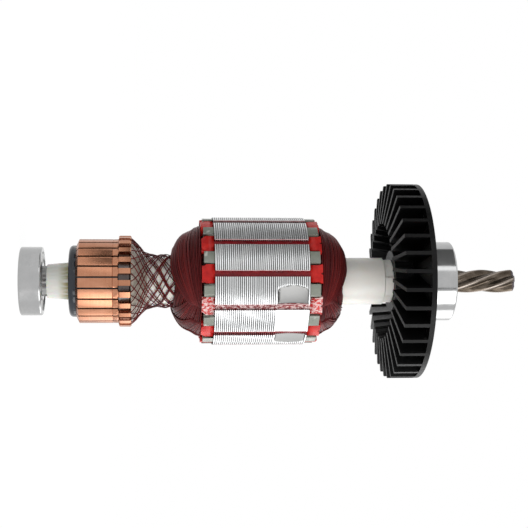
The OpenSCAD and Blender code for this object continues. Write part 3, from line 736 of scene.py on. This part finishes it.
mouthHalf = 1.05 * mm
balanceCut = dict(CutStart=zCoreEnd - 10.35 * mm, CutEnd=zCoreEnd - 0.6 * mm, CutAngle=math.radians(-52),
                  CutHalf=math.radians(22), CutDepth=0.85 * mm, CutterRadius=33 * mm, CrownRadius=31 * mm)
sheets = dict(Sheets=sheetCount, Teeth=toothCount, Radius=coreRadius, Foot=zCore, Pitch=sheetPitch,
              Joint=0.3 * mm, JointDepth=0.11 * mm, MouthAngle=math.asin(mouthHalf / coreRadius),
              FirstAngle=firstSlot, Seed=5, Material=laminations, **balanceCut)
sheetEdges = bakeTree("sheetEdges", sheetTree(), sheets)
sheetEdges.data.set_sharp_from_angle(angle=math.radians(25))
dress(sheetEdges, "rotor", "laminations", "core_stack")

papers = dict(Slots=toothCount, Steps=90, Radius=19.75 * mm, Width=1.96 * mm, Foot=zCore - 0.1 * mm,
              Length=zCoreEnd - zCore + 0.2 * mm, FirstAngle=firstSlot, Crumple=0.5 * mm, FrostedSlot=0, Seed=3,
              Material=varnishedPaper)
dress(bakeTree("mouthPapers", paperTree(), papers), "rotor", "red_fibre")

beads = dict(Slots=toothCount, Steps=36, Radius=20.56 * mm, BeadRadius=0.15 * mm, Foot=zCore + 0.2 * mm,
             Length=zCoreEnd - zCore - 0.4 * mm, FirstAngle=firstSlot - sheets["MouthAngle"] + 0.005, Seed=8,
             Material=varnishBead)
dress(bakeTree("varnishBeads", beadTree(), beads), "rotor", "red_fibre")
print("sheets and papers made")


# copies of nodes, reshaped or softened

def mergedCopy(node, joinFlat=True):
    # a node's mesh with its doubles merged and, unless told not to, its flat faces joined
    mesh = nodes[node].data.copy()
    b = bmesh.new()
    b.from_mesh(mesh)
    bmesh.ops.remove_doubles(b, verts=b.verts, dist=0.002 * mm)
    if joinFlat:
        bmesh.ops.dissolve_limit(b, angle_limit=math.radians(1.0), verts=b.verts, edges=b.edges)
    return mesh, b


coreSkin = dict(depth=0.16 * mm, slack=0.02 * mm, milledDepth=0.06 * mm, cutHalf=math.radians(36), sharp=20)


def coreBody():
    # the stack below its sheets' edges, with the milled cut left open
    mesh, b = mergedCopy("core_stack", joinFlat=False)
    cut = b.faces.layers.float.new("cut")
    for face in b.faces:
        middle = face.calc_center_median()
        turn = abs(math.remainder(math.atan2(middle.y, middle.x) - balanceCut["CutAngle"], math.tau))
        beside = balanceCut["CutStart"] < middle.z < balanceCut["CutEnd"] + 0.1 * mm
        outward = face.normal.dot(Vector((middle.x, middle.y, 0)).normalized()) > 0.5
        deep = middle.xy.length < coreRadius - coreSkin["milledDepth"]
        face[cut] = 1.0 if beside and turn < coreSkin["cutHalf"] and outward and deep else 0.0
    for v in b.verts:
        r = v.co.xy.length
        if r > coreRadius - coreSkin["slack"]:
            v.co.xy *= (coreRadius - coreSkin["depth"]) / r
    b.to_mesh(mesh)
    b.free()
    mesh.name = "coreBody"
    smoothTo(mesh, coreSkin["sharp"])
    dress(addPiece("coreBody", mesh), "rotor", "laminations", "core_stack")


tab = dict(radius=18.8 * mm, rearFold=1.3 * mm, frontFold=1.2 * mm, rearWidth=0.62, neckWidth=0.9,
           notch=0.75 * mm, notchHalf=0.3 * mm, slack=0.01 * mm, sharp=30)


def foldedPaper(number):
    # a liner whose tabs have cut corners behind and a notched, flared end in front
    node = "slot_liner_" + str(number)
    low, high = footOf(node), topOf(node)
    turned = Matrix.Rotation(firstSlot + slotPitch * (number - 1), 3, "Z")
    back = turned.inverted()
    mesh, b = mergedCopy(node)
    planes = [((0, 0, low + tab["rearFold"]), (0, 0, 1)), ((0, 0, high - tab["frontFold"]), (0, 0, 1)),
              ((0, 0, 0), tuple(turned @ Vector((0, 1, 0))))]
    for place, normal in planes:
        bmesh.ops.bisect_plane(b, geom=b.verts[:] + b.edges[:] + b.faces[:], dist=0.001 * mm,
                               plane_co=place, plane_no=normal)
    for v in b.verts:
        local = back @ v.co
        if local.xy.length < tab["radius"]:
            continue
        if abs(local.z - low) < tab["slack"]:
            local.y *= tab["rearWidth"]
        elif abs(local.z - high) < tab["slack"]:
            if abs(local.y) < tab["notchHalf"]:
                local.z -= tab["notch"]
        elif zCoreEnd - 0.1 * mm < local.z < high - tab["frontFold"] + 0.1 * mm:
            local.y *= tab["neckWidth"]
        v.co = turned @ local
    bmesh.ops.triangulate(b, faces=[f for f in b.faces if len(f.verts) > 4])
    # the first liner is marked for pale glints, a painted highlight
    glint = b.verts.layers.float.new("glint")
    for v in b.verts:
        v[glint] = 1.0 if number == 1 else 0.0
    b.to_mesh(mesh)
    b.free()
    piece = addPiece("paper" + str(number), mesh)
    mesh.name = piece.name
    smoothTo(mesh, tab["sharp"])
    dress(piece, "rotor", "red_fibre", node)


def levelEnds(mesh):
    # flat faces square to the shaft take their own normal at every corner
    normals = [corner.vector.copy() for corner in mesh.corner_normals]
    for face in mesh.polygons:
        if abs(face.normal.z) > 0.9999 and face.area > 0.2 * mm * mm:
            for corner in face.loop_indices:
                normals[corner] = face.normal.copy()
    mesh.normals_split_custom_set(normals)


def softened(node, name, width, segments=2, sharp=32.0, highlightFinish=None):
    # a copy with its edges broken
    mesh, b = mergedCopy(node)
    b.to_mesh(mesh)
    b.free()
    smoothTo(mesh, sharp)
    piece = addPiece(name, mesh)
    soften = piece.modifiers.new("soften", "BEVEL")
    soften.harden_normals = True
    soften.width = width
    soften.segments = segments
    soften.limit_method = "ANGLE"
    soften.angle_limit = math.radians(sharp)
    soften.use_clamp_overlap = True
    # the broken edges take the lighter second finish, a painted highlight
    if highlightFinish:
        mesh.materials.append(highlightFinish)
        soften.material = 1
    bake(piece)
    levelEnds(piece.data)
    dress(piece, bodyOf[node], slotOf[node], node)


def outerRing(node, name, bore, outside, width, ball, corner=0.5, inset=0.75):
    # an outer ring with rounded corners and its two shield recesses, in mm
    land = (bore + outside) / 4 + 0.365 * ball
    recess = land + 0.6
    rim = outside / 2
    turns = [k * math.pi / 8 for k in range(5)]
    arc = [(corner * (1 - math.cos(a)), corner * (1 - math.sin(a))) for a in turns]
    rounded = [(rim - dr, dz) for dr, dz in reversed(arc)] + [(rim, corner + 0.03)]
    rounded += [(rim, width - corner - 0.03)] + [(rim - dr, width - dz) for dr, dz in arc]
    profile = ([(land, width - inset), (land, inset), (recess, inset), (recess, 0)] + rounded
               + [(recess, width), (recess, width - inset)])
    piece = turnedMesh(name, profileAt(footOf(node), profile), bearingSteel, 160)
    dress(piece, bodyOf[node], slotOf[node], node)


coreBody()
for number in range(1, toothCount + 1):
    foldedPaper(number)
softened("fan", "fanWheel", 0.14 * mm, highlightFinish=fanEdgeHighlight)
softened("commutator_hub", "commutatorHub", 0.1 * mm)
softened("rear_insulator", "rearInsulator", 0.3 * mm, 3)
softened("front_insulator", "frontInsulator", 0.3 * mm, 3)
softened("insulating_tube", "insulatingTube", 0.2 * mm, 3)
outerRing("rear_outer_ring", "rearOuterRing", bore=8, outside=22, width=7, ball=3.97)
outerRing("front_outer_ring", "frontOuterRing", bore=10, outside=26, width=8, ball=4.76)
softened("shaft", "shaftAndPinion", 0.05 * mm, 1, 60.0)
for n in sorted(nodes):
    if n.startswith("commutator_bar"):
        softened(n, "copperBar" + n.split("_")[-1], 0.12 * mm)
print("softened pieces made")


# light, floor and background

def shareOfView(tree):
    # 1 for rays from the camera and for mirrored and passing rays
    rays = addNode(tree, "ShaderNodeLightPath").outputs
    seen, mirrored, through = (Field(tree, rays[kind]) for kind in
                               ("Is Camera Ray", "Is Glossy Ray", "Is Transmission Ray"))
    return seen.calc("MAXIMUM", mirrored).calc("MAXIMUM", through)


scene.view_settings.view_transform = "Standard"
world = bpy.data.worlds.new("studio")
scene.world = world
world.use_nodes = True
sky = world.node_tree
feed(sky.nodes["Background"], Color=mixColour(shareOfView(sky), (0.5, 0.5, 0.5), (1, 1, 1)))

floorHalf, floorGlow, glowShare = 3, 1.06, 0.9
floorMesh = bpy.data.meshes.new("floor")
floorMesh.from_pydata([(-floorHalf, -floorHalf, 0), (floorHalf, -floorHalf, 0), (floorHalf, floorHalf, 0),
                       (-floorHalf, floorHalf, 0)], [], [(0, 1, 2, 3)])
floorPaint, matt, place = startFinish("floorPaint", Roughness=0.9)
paint = floorPaint.node_tree
feed(matt, Base_Color=ramp(noise(place, 60.0), (0.3, (0.82, 0.82, 0.82)), (0.7, (0.84, 0.84, 0.84))))
glow = result(paint, "ShaderNodeEmission", {0: (1, 1, 1, 1), 1: floorGlow})
mixed = addNode(paint, "ShaderNodeMixShader",
                {0: shareOfView(paint) * glowShare, 1: Field(paint, matt.outputs[0]), 2: glow})
paint.links.new(mixed.outputs[0], paint.nodes["Material Output"].inputs[0])
floorMesh.materials.append(floorPaint)
floorObject = addPiece("floor", floorMesh)


def softbox(name, place, width, height, power, aim=(0, 0, 0.08)):
    lamp = bpy.data.objects.new(name, bpy.data.lights.new(name, "AREA"))
    lamp.visible_camera = False
    lamp.data.shape = "RECTANGLE"
    lamp.data.size, lamp.data.size_y, lamp.data.energy = width, height, power
    scene.collection.objects.link(lamp)
    lamp.location = place
    lamp.rotation_euler = (Vector(aim) - Vector(place)).to_track_quat("-Z", "Y").to_euler()


softbox("keyLamp", (0.4, -0.34, 0.12), width=0.36, height=0.6, power=2.2)
softbox("fillLamp", (-0.45, -0.3, 0.2), width=0.5, height=0.5, power=0.8)
softbox("lowLamp", (0.44, 0.22, 0.12), width=0.4, height=0.5, power=1.2)


def flag(name, turn, width, low, shade, high=0.3, distance=0.5):
    # a dark card beside the camera, seen only in the metal
    mesh = bpy.data.meshes.new(name)
    left, right = turn - width / distance / 2, turn + width / distance / 2
    corners = [(distance * math.sin(a), -distance * math.cos(a), z) for z in (low, high) for a in (left, right)]
    mesh.from_pydata(corners, [], [(0, 1, 3, 2)])
    card, shader, place = startFinish(name)
    feed(shader, Base_Color=ramp(noise(place, 40.0), (0.3, (shade * 0.9,) * 3), (0.7, (shade,) * 3)))
    mesh.materials.append(card)
    piece = addPiece(name, mesh)
    piece.visible_camera = False


flag("darkFlag", math.radians(22), width=0.045, low=0.001, shade=0.2)
flag("highFlag", math.radians(-75), width=0.55, low=0.035, shade=0.17)

print("scene ready")
